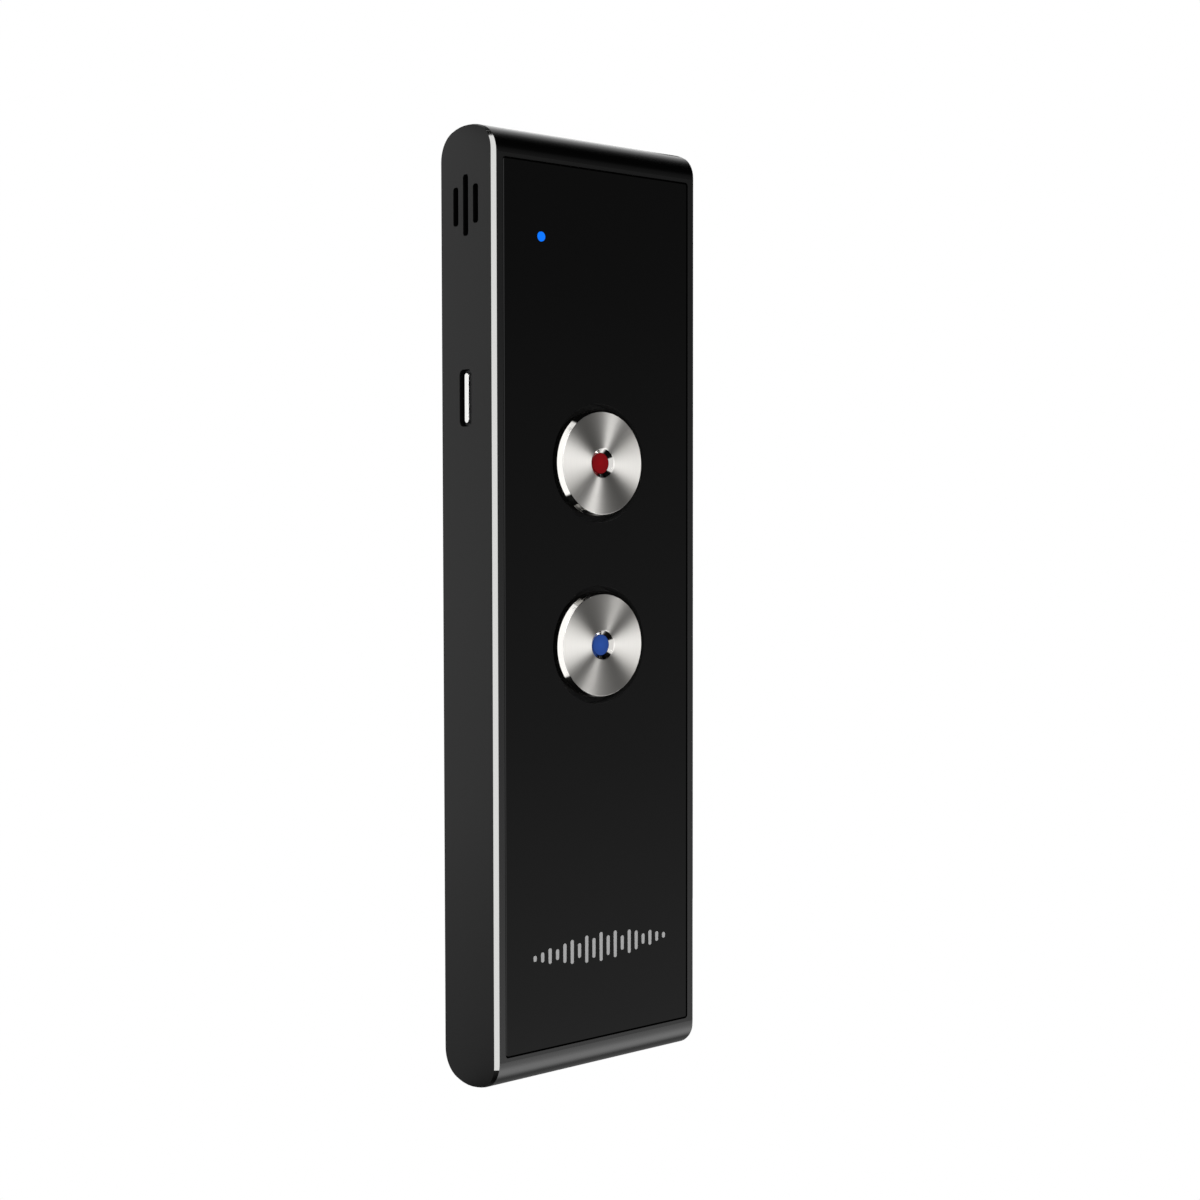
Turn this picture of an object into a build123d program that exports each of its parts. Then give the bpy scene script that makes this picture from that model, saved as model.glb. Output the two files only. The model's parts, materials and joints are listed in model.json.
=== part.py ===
from build123d import *
from math import sqrt
import os

# Handheld voice translator, lying on its back: X across, Y along the length, Z out of the front.
# The origin is the centre of the flat back. All sizes are in millimetres.

# ---------- driving dimensions ----------

# aluminium frame
case_length = 140.0
case_width = 39.0
case_depth = 13.0
crown_radius = 10.0          # each end, seen from the side, is one shallow crown
crown_height = 6.5           # height above the back at which the ends reach furthest
front_corner_radius = 3.6
rear_corner_radius = 4.1
edge_chamfer = 0.56          # bright cut edge round the front
rear_edge_relief = 0.35      # slant along the back's two long edges
end_edge_relief = 0.15       # slant down the side edges of the crowns
rim_width = 1.11             # flat metal rim beside the front panel
ledge_width = 0.8            # ledge inside the rims that the deck and rear cover seat on
end_rim = 5.2                # from the end of the case to the front panel
end_wall = 3.1
cover_thickness = 1.2
pocket_corner_radius = 0.5
cavity_corner_radius = 1.1

# front panel and the deck that carries it
panel_thickness = 1.1
panel_recess = 0.05
panel_gap = 0.15
panel_edge_break = 0.12
glue_thickness = 0.15
glue_inset = 0.4
deck_thickness = 1.2
deck_gap = 0.15
rib_width = 1.0
rib_depth = 0.8
rib_length = 60.0
rib_x = 11.5

# round keys
red_key_from_end = 48.47     # all places along the length are from the nearer end
key_spacing = 27.05
key_face_radius = 7.6
key_base_radius = 8.05
key_proud = 0.8
key_wall = 1.0
key_plate = 1.5
key_gap = 0.8
key_edge_round = 0.12
key_dish_radius = 2.2        # countersink in the face, down to the coloured centre
key_dish_edge = 0.06
key_bore_radius = 1.58
key_travel = 0.4
insert_recess = 0.5
insert_gap = 0.05
insert_flange = 1.05
insert_flange_thickness = 0.6
carrier_flange = 0.9
carrier_flange_thickness = 0.8
carrier_gap = 0.05
stem_radius = 1.6

# push switches under the keys
switch_size = 6.0
switch_height = 1.4
plunger_radius = 1.2
plunger_proud = 0.7
plunger_sunk = 0.4
plunger_gap = 0.05
terminal_length = 0.7
terminal_width = 0.8
terminal_thickness = 0.25

# battery
cell_width = 23.0
cell_from_end = 28.1          # from the bottom end to the battery, which fills the rest
cell_thickness = 4.0
cell_edge_radius = 1.4
tape_thickness = 0.15
tape_inset = 3.0
foam_thickness = 0.3
foam_inset = 4.0
protector_width = 19.0
protector_length = 2.4
protector_height = 2.6
cell_gap = 1.0
lead_radius = 0.4
lead_spacing = 1.4
lead_bend = 1.0
lead_run = 4.0
socket_x = 7.0
socket_size = (4.0, 3.0, 1.2)

# main board
board_thickness = 1.0
board_gap = 0.4
board_end_gap = 0.7
board_tab_width = 10.4
board_tongue_gap = 4.8
notch_gap = 0.4

# posts and screws
boss_radius = 2.2
boss_gap = 0.3
boss_end_gap = 3.5
deck_screw_radius = 0.8
deck_screw_head = 1.4
deck_screw_head_height = 0.55
deck_screw_depth = 5.0
post_radius = 1.9
post_x = 13.0
board_screw_radius = 0.65
board_screw_head = 1.25
board_screw_head_height = 0.6
board_screw_depth = 3.0
screw_gap = 0.1
screw_cross = 0.35

# side power key
power_key_from_end = 39.2
power_slot_length = 8.25
power_slot_width = 2.95
power_slot_corner = 0.9
power_bar_length = 7.35
power_bar_width = 0.98
power_bar_recess = 0.05
power_bar_height = 0.75
power_bar_round = 0.3
power_key_travel = 0.3
power_key_gap = 0.1
power_flange_margin = 0.9
power_flange_thickness = 0.8
power_stem_length = 0.8
power_stem_size = (2.0, 1.0)
power_switch_size = (2.7, 5.8, 2.2)
power_switch_lip = 0.8
power_plunger_shown = 0.6
power_plunger_sunk = 0.5

# speaker behind three slots in the left side
speaker_from_end = 11.53
speaker_z = 6.36
outlet_width = 1.25
outlet_corner = 0.45
outlet_pitch = 2.4
outlet_lengths = (5.6, 8.8, 5.6)
speaker_size = (3.0, 12.0, 8.0)
speaker_margin = 0.2
mesh_thickness = 0.1
gasket_thickness = 0.6
gasket_width = 0.8
basket_wall = 0.8
basket_depth = 1.5
cone_thickness = 0.25
cone_gap = 0.1
cone_sunk = 0.3
magnet_radius = 2.7
magnet_thickness = 1.3
speaker_lead_radius = 0.25
speaker_lead_spacing = 2.0
speaker_lead_reach = 1.6

# charging socket and microphone in the bottom end
usb_size = (7.4, 5.6, 2.6)
usb_wall = 0.25
usb_recess = 0.6
usb_gap = 0.15
usb_corner = 0.6
usb_tongue_size = (5.2, 3.6, 0.6)
mic_boss_gap = 1.5
mic_size = (3.5, 2.65, 1.0)
mic_hole_radius = 0.5
mic_boot_margin = 0.6

# status light
light_from_side = 8.7
light_from_end = 15.95
light_radius = 0.7
light_gap = 0.05
light_flange = 0.7
light_flange_thickness = 0.5
led_size = (1.6, 0.8, 0.65)

# chips
shield_size = (20.0, 14.0, 1.8)
shield_wall = 0.2
shield_x = 1.0
processor_size = 9.0
memory_size = (6.0, 8.0)
chip_height = 0.9
chip_inset = 1.2
codec_size = 6.0
codec_x = -6.0
charger_size = 4.0
charger_x = 6.0
chips_from_end = 44.0
chip_gap = 4.0
coil_size = (4.0, 4.0, 1.6)
passive_size = (1.6, 0.8, 0.7)
passive_pitch = 2.4
antenna_size = (7.0, 2.0, 1.0)
antenna_x = 4.0

# ---------- worked out from the driving dimensions ----------

pocket_half_width = case_width / 2 - edge_chamfer - rim_width
cavity_half_width = pocket_half_width - ledge_width
side_wall = case_width / 2 - cavity_half_width
pocket_half_length = case_length / 2 - end_rim
cavity_half_length = case_length / 2 - end_wall

red_key_y = case_length / 2 - red_key_from_end
blue_key_y = red_key_y - key_spacing
power_key_y = case_length / 2 - power_key_from_end
speaker_y = case_length / 2 - speaker_from_end
light_x = light_from_side - case_width / 2
light_y = case_length / 2 - light_from_end
chips_y = chips_from_end - case_length / 2
coil_y = chips_y - charger_size / 2 - chip_gap - coil_size[1] / 2

panel_top = case_depth - panel_recess
panel_bottom = panel_top - panel_thickness
deck_top = panel_bottom - glue_thickness
deck_bottom = deck_top - deck_thickness

cell_bottom = cover_thickness + tape_thickness
cell_top = cell_bottom + cell_thickness
board_bottom = cell_top + foam_thickness
board_top = board_bottom + board_thickness
board_middle = board_bottom + board_thickness / 2

keys = {"red": red_key_y, "blue": blue_key_y}
key_hole_radius = key_base_radius + key_gap
cap_top = case_depth + key_proud
cap_underside = cap_top - key_plate
carrier_top = deck_bottom - carrier_gap
carrier_bottom = carrier_top - carrier_flange_thickness
switch_top = board_top + switch_height
plunger_top = switch_top + plunger_proud

power_bar_x = -(case_width / 2 - power_bar_recess)
power_boss_x = power_bar_x + power_bar_height
power_flange_x = -cavity_half_width + carrier_gap
power_stem_x = power_flange_x + power_flange_thickness
power_plunger_x = power_stem_x + power_stem_length
power_switch_x = power_plunger_x + power_plunger_shown
power_notch_x = power_switch_x + power_switch_size[0]
power_flange_length = power_slot_length + 2 * power_flange_margin
power_flange_width = power_slot_width + 2 * power_flange_margin

speaker_front = -cavity_half_width + mesh_thickness + gasket_thickness
speaker_back = speaker_front + speaker_size[0]
speaker_low_y = speaker_y - speaker_size[1] / 2

cell_end = red_key_y - post_radius - cell_gap - protector_length
cell_start = cell_from_end - case_length / 2
cell_length = cell_end - cell_start
cell_middle = (cell_end + cell_start) / 2
protector_end = cell_end + protector_length

board_half_width = cavity_half_width - board_gap
board_low_y = -(pocket_half_length - board_end_gap)
board_high_y = pocket_half_length - board_tongue_gap
usb_mouth_y = -(case_length / 2 - usb_recess)
usb_middle_z = board_top + usb_size[2] / 2
mic_z = board_top + mic_size[2] / 2
mic_boot_width = mic_size[0] + 2 * mic_boot_margin

boss_x = cavity_half_width - boss_radius - boss_gap
mic_x = boss_x - boss_radius - mic_boss_gap - mic_size[0] / 2
boss_end_y = cavity_half_length - boss_radius - boss_end_gap
boss_top_y = speaker_low_y - boss_radius - cell_gap
boss_middle_y = (red_key_y + blue_key_y) / 2
deck_screws_at = [
    (-boss_x, -boss_end_y),
    (boss_x, -boss_end_y),
    (-boss_x, boss_middle_y),
    (boss_x, boss_middle_y),
    (-boss_x, boss_top_y),
    (boss_x, boss_top_y),
    (boss_x, boss_end_y),
]
post_low_y = cell_start - post_radius - cell_gap
post_top_y = power_key_y + power_flange_length / 2 + post_radius + cell_gap
board_screws_at = [
    (-post_x, post_low_y),
    (post_x, post_low_y),
    (-post_x, post_top_y),
    (post_x, post_top_y),
]
shield_y = post_top_y

os.makedirs("parts", exist_ok=True)


def save(name, part):
    """Label a finished piece and write it under its own name."""
    part.label = name
    export_step(part, f"parts/{name}.step")
    print(f"{name:22s} solids {len(part.solids()):2d}  volume {part.volume:9.2f} mm3")


# ---------- case frame: sides, crowned ends and both rims in one milled ring ----------


def side_outline(reach, front, rear, front_radius):
    """Half outline of the case seen from its side, mirrored to the other end."""
    front_centre = front - front_radius
    rear_centre = rear + rear_corner_radius
    crown_centre = reach - crown_radius
    front_rise = front_centre - crown_height
    rear_rise = rear_centre - crown_height
    front_y = sqrt((crown_radius - front_radius) ** 2 - front_rise**2)
    rear_y = sqrt((crown_radius - rear_corner_radius) ** 2 - rear_rise**2)
    front_scale = crown_radius / (crown_radius - front_radius)
    rear_scale = crown_radius / (crown_radius - rear_corner_radius)
    front_meet = (crown_centre + front_y * front_scale, crown_height + front_rise * front_scale)
    rear_meet = (crown_centre + rear_y * rear_scale, crown_height + rear_rise * rear_scale)
    with BuildLine() as outline:
        Line((0, front), (crown_centre + front_y, front))
        front_arc = TangentArc((crown_centre + front_y, front), front_meet, tangent=(1, 0))
        crown_arc = TangentArc(front_meet, rear_meet, tangent=front_arc % 1)
        TangentArc(rear_meet, (crown_centre + rear_y, rear), tangent=crown_arc % 1)
        Line((crown_centre + rear_y, rear), (0, rear))
        mirror(about=Plane.YZ)
    return outline.line


with BuildPart() as case_frame:
    flank = case_width / 2
    shoulder = flank - edge_chamfer
    for x in (-flank, -shoulder, shoulder, flank):
        inset = edge_chamfer if abs(x) == flank else 0
        back = rear_edge_relief if abs(x) == flank else 0
        short = end_edge_relief if abs(x) == flank else 0
        with BuildSketch(Plane.YZ.offset(x)):
            with BuildLine():
                add(side_outline(
                    case_length / 2 - short,
                    case_depth - inset,
                    back,
                    front_corner_radius + edge_chamfer - inset,
                ))
            make_face()
    loft(ruled=True)

    # pockets for the deck and panel and for the rear cover, and the cavity between them
    with BuildSketch(Plane.XY.offset(deck_bottom)):
        RectangleRounded(2 * pocket_half_width, 2 * pocket_half_length, pocket_corner_radius)
    extrude(amount=case_depth - deck_bottom, mode=Mode.SUBTRACT)
    with BuildSketch():
        RectangleRounded(2 * pocket_half_width, 2 * pocket_half_length, pocket_corner_radius)
    extrude(amount=cover_thickness, mode=Mode.SUBTRACT)
    with BuildSketch(Plane.XY.offset(cover_thickness)):
        RectangleRounded(2 * cavity_half_width, 2 * cavity_half_length, cavity_corner_radius)
    extrude(amount=deck_bottom - cover_thickness, mode=Mode.SUBTRACT)

    # three outlets and the power key's slot in the left side
    with BuildSketch(Plane.YZ.offset(-flank)):
        for step, length in zip((-1, 0, 1), outlet_lengths):
            with Locations((speaker_y, speaker_z + step * outlet_pitch)):
                RectangleRounded(length, outlet_width, outlet_corner)
        with Locations((power_key_y, board_middle)):
            RectangleRounded(power_slot_length, power_slot_width, power_slot_corner)
    extrude(amount=side_wall, both=True, mode=Mode.SUBTRACT)

    # charging socket and microphone holes in the bottom end
    with BuildSketch(Plane.XZ.offset(cavity_half_length)):
        with Locations((0, usb_middle_z)):
            RectangleRounded(usb_size[0] + 2 * usb_gap, usb_size[2] + 2 * usb_gap, usb_corner)
        with Locations((mic_x, mic_z)):
            Circle(mic_hole_radius)
    extrude(amount=2 * end_wall, mode=Mode.SUBTRACT)
save("case_frame", case_frame.part)


# ---------- rear cover: the flat back, with the bosses and posts that stand on it ----------

with BuildPart() as rear_cover:
    with BuildSketch():
        RectangleRounded(
            2 * (pocket_half_width - panel_gap),
            2 * (pocket_half_length - panel_gap),
            pocket_corner_radius - panel_gap,
        )
    extrude(amount=cover_thickness)

    # bosses for the deck, posts for the board, a plain post under the red key
    with BuildSketch(Plane.XY.offset(cover_thickness)):
        with Locations(*deck_screws_at):
            Circle(boss_radius)
    extrude(amount=deck_bottom - cover_thickness)
    with BuildSketch(Plane.XY.offset(cover_thickness)):
        with Locations(*board_screws_at, (0, red_key_y)):
            Circle(post_radius)
    extrude(amount=board_bottom - cover_thickness)
    with BuildSketch(Plane.XY.offset(deck_bottom)):
        with Locations(*deck_screws_at):
            Circle(deck_screw_radius)
    extrude(amount=-deck_screw_depth, mode=Mode.SUBTRACT)
    with BuildSketch(Plane.XY.offset(board_bottom)):
        with Locations(*board_screws_at):
            Circle(board_screw_radius)
    extrude(amount=-board_screw_depth, mode=Mode.SUBTRACT)

    # ledge that the speaker stands on
    with BuildSketch(Plane.YZ.offset(speaker_front)):
        with Locations((speaker_y, (cover_thickness + speaker_z - speaker_size[2] / 2) / 2)):
            Rectangle(speaker_size[1], speaker_z - speaker_size[2] / 2 - cover_thickness)
    extrude(amount=speaker_size[0])
save("rear_cover", rear_cover.part)


# ---------- front: deck, adhesive and panel ----------

deck_half_width = pocket_half_width - deck_gap
deck_half_length = pocket_half_length - deck_gap

with BuildPart() as mid_deck:
    with BuildSketch(Plane.XY.offset(deck_bottom)):
        RectangleRounded(2 * deck_half_width, 2 * deck_half_length, pocket_corner_radius)
        with Locations(*[(0, y) for y in keys.values()]):
            Circle(key_hole_radius, mode=Mode.SUBTRACT)
        with Locations((light_x, light_y)):
            Circle(light_radius + light_gap, mode=Mode.SUBTRACT)
        with Locations(*deck_screws_at):
            Circle(deck_screw_radius + screw_gap, mode=Mode.SUBTRACT)
    extrude(amount=deck_thickness)
    with BuildSketch(Plane.XY.offset(deck_top)):
        with Locations(*deck_screws_at):
            Circle(deck_screw_head + screw_gap)
    extrude(amount=-(deck_screw_head_height + screw_gap), mode=Mode.SUBTRACT)
    with BuildSketch(Plane.XY.offset(deck_bottom)):
        with Locations((-rib_x, boss_middle_y), (rib_x, boss_middle_y)):
            Rectangle(rib_width, rib_length)
    extrude(amount=-rib_depth)
save("mid_deck", mid_deck.part)

with BuildPart() as panel_adhesive:
    with BuildSketch(Plane.XY.offset(deck_top)):
        RectangleRounded(
            2 * (deck_half_width - glue_inset),
            2 * (deck_half_length - glue_inset),
            pocket_corner_radius,
        )
        with Locations(*[(0, y) for y in keys.values()]):
            Circle(key_hole_radius + glue_inset, mode=Mode.SUBTRACT)
        with Locations((light_x, light_y)):
            Circle(light_radius + glue_inset, mode=Mode.SUBTRACT)
    extrude(amount=glue_thickness)
save("panel_adhesive", panel_adhesive.part)

with BuildPart() as front_panel:
    with BuildSketch(Plane.XY.offset(panel_bottom)):
        RectangleRounded(
            2 * (pocket_half_width - panel_gap),
            2 * (pocket_half_length - panel_gap),
            pocket_corner_radius - panel_gap,
        )
        with Locations(*[(0, y) for y in keys.values()]):
            Circle(key_hole_radius, mode=Mode.SUBTRACT)
        with Locations((light_x, light_y)):
            Circle(light_radius + light_gap, mode=Mode.SUBTRACT)
    extrude(amount=panel_thickness)
    chamfer(front_panel.faces().sort_by(Axis.Z)[-1].outer_wire().edges(), panel_edge_break)
save("front_panel", front_panel.part)


# ---------- screws ----------


def screws(spots, top, head_radius, head_height, shank_radius, depth):
    """Identical pan-head screws with a cross recess, heads down onto the face at height top."""
    with BuildPart() as group:
        with BuildSketch(Plane.XY.offset(top)):
            with Locations(*spots):
                Circle(head_radius)
        extrude(amount=head_height)
        with BuildSketch(Plane.XY.offset(top)):
            with Locations(*spots):
                Circle(shank_radius)
        extrude(amount=-depth)
        with BuildSketch(Plane.XY.offset(top + head_height)):
            with Locations(*spots):
                Rectangle(head_radius, screw_cross)
                Rectangle(screw_cross, head_radius)
        extrude(amount=-head_height / 2, mode=Mode.SUBTRACT)
    return group.part


deck_seat = deck_top - deck_screw_head_height - screw_gap
save("deck_screws", screws(
    deck_screws_at,
    deck_seat,
    deck_screw_head,
    deck_screw_head_height,
    deck_screw_radius,
    deck_seat - deck_bottom + deck_screw_depth - screw_gap,
))
save("board_screws", screws(
    board_screws_at,
    board_top,
    board_screw_head,
    board_screw_head_height,
    board_screw_radius,
    board_thickness + board_screw_depth - screw_gap,
))


# ---------- round keys, each with its own switch ----------


def make_key(colour, y):
    """One spun metal key with its coloured centre, carrier, plunger and switch."""
    upright = Plane.XZ.offset(-y)
    spindle = Axis((0, y, 0), (0, 0, 1))
    skirt_radius = key_base_radius - key_wall
    flange_top_radius = key_bore_radius + insert_flange
    flange_low = cap_underside - insert_flange_thickness

    with BuildPart() as cap:
        with BuildSketch(upright):
            with BuildLine():
                Polyline(
                    (key_bore_radius, cap_underside),
                    (key_bore_radius, cap_top - insert_recess),
                    (key_dish_radius, cap_top),
                    (key_face_radius, cap_top),
                    (key_base_radius, case_depth),
                    (key_base_radius, carrier_top),
                    (skirt_radius, carrier_top),
                    (skirt_radius, cap_underside),
                    close=True,
                )
            make_face()
        revolve(axis=spindle)
        rims = cap.edges().group_by(Axis.Z)[-1].sort_by(SortBy.RADIUS)
        chamfer(rims[0], key_dish_edge)
        fillet(cap.edges().group_by(Axis.Z)[-1].sort_by(SortBy.RADIUS)[-1], key_edge_round)
    save(f"{colour}_key_cap", cap.part)

    with BuildPart() as insert:
        with BuildSketch(upright):
            with BuildLine():
                Polyline(
                    (0, flange_low),
                    (flange_top_radius, flange_low),
                    (flange_top_radius, cap_underside),
                    (key_bore_radius - insert_gap, cap_underside),
                    (key_bore_radius - insert_gap, cap_top - insert_recess),
                    (0, cap_top - insert_recess),
                    close=True,
                )
            make_face()
        revolve(axis=spindle)
    save(f"{colour}_key_insert", insert.part)

    with BuildPart() as carrier:
        with BuildSketch(upright):
            with BuildLine():
                Polyline(
                    (0, plunger_top),
                    (stem_radius, plunger_top),
                    (stem_radius, carrier_bottom),
                    (key_hole_radius + carrier_flange, carrier_bottom),
                    (key_hole_radius + carrier_flange, carrier_top),
                    (skirt_radius - insert_gap, carrier_top),
                    (skirt_radius - insert_gap, cap_underside),
                    (flange_top_radius + insert_gap, cap_underside),
                    (flange_top_radius + insert_gap, flange_low),
                    (0, flange_low),
                    close=True,
                )
            make_face()
        revolve(axis=spindle)
    save(f"{colour}_key_carrier", carrier.part)

    with BuildPart() as plunger:
        with BuildSketch(Plane.XY.offset(switch_top - plunger_sunk)):
            with Locations((0, y)):
                Circle(plunger_radius)
        extrude(amount=plunger_sunk + plunger_proud)
    save(f"{colour}_switch_plunger", plunger.part)

    with BuildPart() as switch:
        with BuildSketch(Plane.XY.offset(board_top)):
            with Locations((0, y)):
                Rectangle(switch_size, switch_size)
        extrude(amount=switch_height)
        with BuildSketch(Plane.XY.offset(switch_top)):
            with Locations((0, y)):
                Circle(plunger_radius + plunger_gap)
        extrude(amount=-(plunger_sunk + key_travel + plunger_gap), mode=Mode.SUBTRACT)
        with BuildSketch(Plane.XY.offset(board_top)):
            with Locations((0, y)):
                with GridLocations(switch_size + terminal_length, switch_size / 2, 2, 2):
                    Rectangle(terminal_length, terminal_width)
        extrude(amount=terminal_thickness)
    save(f"{colour}_switch_body", switch.part)


for colour, y in keys.items():
    make_key(colour, y)


# ---------- side power key ----------

power_key_plane = Plane.YZ.offset(power_bar_x)

with BuildPart() as power_key:
    with BuildSketch(power_key_plane):
        with Locations((power_key_y, board_middle)):
            SlotOverall(power_bar_length, power_bar_width)
    extrude(amount=power_bar_height)
    fillet(power_key.faces().sort_by(Axis.X)[0].edges(), power_bar_round)
save("power_key", power_key.part)

with BuildPart() as power_key_carrier:
    with BuildSketch(Plane.YZ.offset(power_boss_x)):
        with Locations((power_key_y, board_middle)):
            RectangleRounded(
                power_slot_length - 2 * power_key_gap,
                power_slot_width - 2 * power_key_gap,
                power_slot_corner - power_key_gap,
            )
    extrude(amount=power_flange_x - power_boss_x)
    with BuildSketch(Plane.YZ.offset(power_flange_x)):
        with Locations((power_key_y, board_middle)):
            Rectangle(power_flange_length, power_flange_width)
    extrude(amount=power_flange_thickness)
    with BuildSketch(Plane.YZ.offset(power_stem_x)):
        with Locations((power_key_y, board_middle)):
            Rectangle(*power_stem_size)
    extrude(amount=power_stem_length)
save("power_key_carrier", power_key_carrier.part)

with BuildPart() as power_switch_plunger:
    with BuildSketch(Plane.YZ.offset(power_plunger_x)):
        with Locations((power_key_y, board_middle)):
            Rectangle(*power_stem_size)
    extrude(amount=power_plunger_shown + power_plunger_sunk)
save("power_switch_plunger", power_switch_plunger.part)

with BuildPart() as power_switch_body:
    switch_depth, switch_width, switch_rise = power_switch_size
    with BuildSketch(Plane.YZ.offset(power_switch_x)):
        with Locations((power_key_y, board_middle)):
            Rectangle(switch_width, switch_rise)
    extrude(amount=switch_depth)
    with BuildSketch(Plane.YZ.offset(power_switch_x)):
        with Locations((power_key_y, board_middle)):
            Rectangle(
                power_stem_size[0] + 2 * plunger_gap,
                power_stem_size[1] + 2 * plunger_gap,
            )
    extrude(
        amount=power_plunger_sunk + power_key_travel + plunger_gap,
        mode=Mode.SUBTRACT,
    )
    # lip that rests on the board
    lip_rise = board_middle + switch_rise / 2 - board_top
    with BuildSketch(Plane.YZ.offset(power_notch_x)):
        with Locations((power_key_y, board_top + lip_rise / 2)):
            Rectangle(switch_width, lip_rise)
    extrude(amount=power_switch_lip)
save("power_switch_body", power_switch_body.part)


# ---------- main board and what it carries ----------

with BuildPart() as main_board:
    with BuildSketch(Plane.XY.offset(board_bottom)):
        # tab under the charging socket, clear of the microphone's boot beside it
        with Locations((0, board_low_y)):
            Rectangle(board_tab_width, 2 * (cavity_half_length - board_gap + board_low_y))
        with Locations((mic_x, board_low_y)):
            Rectangle(mic_boot_width + 2 * notch_gap, 2 * end_wall, mode=Mode.SUBTRACT)
        with Locations((0, (board_low_y + board_high_y) / 2)):
            Rectangle(2 * board_half_width, board_high_y - board_low_y)
        # corner left free for the speaker
        speaker_notch_x = speaker_back + notch_gap
        speaker_notch_y = speaker_low_y - notch_gap
        with Locations((speaker_notch_x, speaker_notch_y)):
            Rectangle(
                board_half_width * 2,
                board_high_y,
                align=(Align.MAX, Align.MIN),
                mode=Mode.SUBTRACT,
            )
        # gap for the side key
        with Locations((power_notch_x, power_key_y)):
            Rectangle(
                board_half_width * 2,
                power_flange_length + 2 * notch_gap,
                align=(Align.MAX, Align.CENTER),
                mode=Mode.SUBTRACT,
            )
        with Locations(*deck_screws_at):
            Circle(boss_radius + notch_gap, mode=Mode.SUBTRACT)
        with Locations(*board_screws_at):
            Circle(board_screw_radius + screw_gap, mode=Mode.SUBTRACT)
    extrude(amount=board_thickness)
save("main_board", main_board.part)


def block(name, x, y, low, size):
    """A plain rectangular piece standing on height low, centred at x and y."""
    with BuildPart() as piece:
        with BuildSketch(Plane.XY.offset(low)):
            with Locations((x, y)):
                Rectangle(size[0], size[1])
        extrude(amount=size[2])
    save(name, piece.part)


with BuildPart() as rf_shield:
    shield_length, shield_breadth, shield_height = shield_size
    with BuildSketch(Plane.XY.offset(board_top)):
        with Locations((shield_x, shield_y)):
            Rectangle(shield_length, shield_breadth)
    extrude(amount=shield_height)
    with BuildSketch(Plane.XY.offset(board_top)):
        with Locations((shield_x, shield_y)):
            Rectangle(shield_length - 2 * shield_wall, shield_breadth - 2 * shield_wall)
    extrude(amount=shield_height - shield_wall, mode=Mode.SUBTRACT)
save("rf_shield", rf_shield.part)

processor_x = shield_x - shield_size[0] / 2 + chip_inset + processor_size / 2
memory_x = shield_x + shield_size[0] / 2 - chip_inset - memory_size[0] / 2
block("processor", processor_x, shield_y, board_top, (processor_size, processor_size, chip_height))
block("flash_memory", memory_x, shield_y, board_top, (*memory_size, chip_height))
block("audio_codec", codec_x, chips_y, board_top, (codec_size, codec_size, chip_height))
block("charger_chip", charger_x, chips_y, board_top, (charger_size, charger_size, chip_height))
block("power_coil", charger_x, coil_y, board_top, coil_size)
block("chip_antenna", antenna_x, board_high_y - antenna_size[1], board_top, antenna_size)
block("status_led", light_x, light_y, board_top, led_size)

with BuildPart() as board_components:
    rows_y = chips_y - codec_size / 2 - 2 * passive_pitch
    with BuildSketch(Plane.XY.offset(board_top)):
        with Locations((codec_x, rows_y)):
            with GridLocations(passive_pitch, passive_pitch, 3, 3):
                Rectangle(passive_size[0], passive_size[1])
        with Locations((antenna_x, board_high_y - antenna_size[1] - 2 * passive_pitch)):
            with GridLocations(passive_pitch, passive_pitch, 4, 2):
                Rectangle(passive_size[0], passive_size[1])
    extrude(amount=passive_size[2])
save("board_components", board_components.part)

with BuildPart() as light_pipe:
    with BuildSketch(Plane.XY.offset(board_top + led_size[2] + screw_gap)):
        with Locations((light_x, light_y)):
            Circle(light_radius)
    extrude(amount=panel_top - board_top - led_size[2] - screw_gap)
    with BuildSketch(Plane.XY.offset(deck_bottom)):
        with Locations((light_x, light_y)):
            Circle(light_radius + light_flange)
    extrude(amount=-light_flange_thickness)
save("light_pipe", light_pipe.part)


# ---------- battery ----------

with BuildPart() as battery_cell:
    with BuildSketch(Plane.XZ.offset(-cell_end)):
        with Locations((0, (cell_bottom + cell_top) / 2)):
            RectangleRounded(cell_width, cell_thickness, cell_edge_radius)
    extrude(amount=cell_length)
save("battery_cell", battery_cell.part)

block(
    "battery_tape",
    0,
    cell_middle,
    cover_thickness,
    (cell_width - 2 * tape_inset, cell_length - 2 * tape_inset, tape_thickness),
)
block(
    "battery_foam",
    0,
    cell_middle,
    cell_top,
    (cell_width - 2 * foam_inset, cell_length - 2 * foam_inset, foam_thickness),
)
block(
    "battery_protector",
    0,
    (cell_end + protector_end) / 2,
    cell_bottom,
    (protector_width, protector_length, protector_height),
)

socket_y = protector_end + lead_run + socket_size[1] / 2
block("battery_socket", socket_x, socket_y, board_bottom - socket_size[2], socket_size)

with BuildPart() as battery_leads:
    lead_low = cell_bottom + protector_height / 2
    lead_high = board_bottom - socket_size[2] / 2
    for x in (socket_x - lead_spacing / 2, socket_x + lead_spacing / 2):
        with BuildLine() as route:
            FilletPolyline(
                (x, protector_end, lead_low),
                (x, protector_end + lead_run / 3, lead_low),
                (x, protector_end + 2 * lead_run / 3, lead_high),
                (x, protector_end + lead_run, lead_high),
                radius=lead_bend,
            )
        with BuildSketch(Plane.XZ.offset(-protector_end)):
            with Locations((x, lead_low)):
                Circle(lead_radius)
        sweep(path=route.wire())
save("battery_leads", battery_leads.part)


# ---------- speaker ----------


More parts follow.
